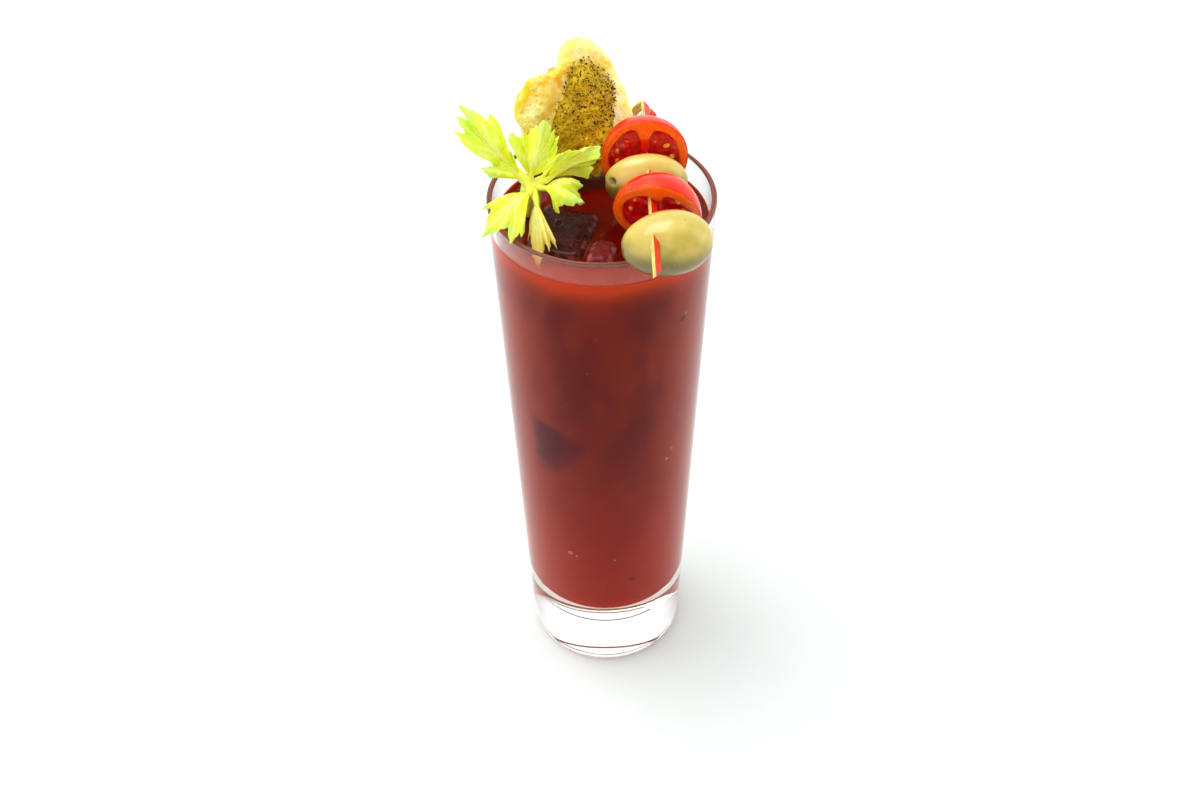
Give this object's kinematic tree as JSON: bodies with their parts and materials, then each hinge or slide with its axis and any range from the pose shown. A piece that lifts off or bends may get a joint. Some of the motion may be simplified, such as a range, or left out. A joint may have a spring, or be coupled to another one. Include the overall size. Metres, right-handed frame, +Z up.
{
  "type": "bloody mary",
  "caption": "Tall tapered glass of thick red tomato drink with ice, garnished with folded herb toast, a celery sprig and a pick of olives and cherry tomato halves.",
  "frame": {"origin": "centre of the glass's flat foot, on the surface that it stands on", "axes": "+Z up along the glass; the garnish pick runs along Y with its tip at -Y, and +X is to the right of somebody who looks along +Y"},
  "size_m": [0.0649, 0.0887, 0.1923],
  "materials": {
    "clear_glass": "clear polished soda glass",
    "tomato_juice": "thick opaque red drink, wet surface",
    "stained_ice": "frosty wet ice stained by the drink",
    "toasted_bread": "dry toasted crumb with golden patches",
    "herb_paste": "grainy olive-brown herb paste",
    "celery_leaf": "thin yellow-green leaf, satin",
    "painted_bamboo": "flat bamboo strip, one face painted red",
    "green_olive": "smooth wet olive skin",
    "cherry_tomato": "glossy tomato skin and wet cut flesh"
  },
  "bodies": {
    "root": {"glass": "clear_glass", "drink": "tomato_juice", "ice_cube_big": "stained_ice", "ice_cube_small": "stained_ice", "toast": "toasted_bread", "herb_spread": "herb_paste", "celery": "celery_leaf", "pick": "painted_bamboo", "olive_front": "green_olive", "olive_back": "green_olive", "tomato_half_front": "cherry_tomato", "tomato_half_back": "cherry_tomato"}
  },
  "joints": []
}
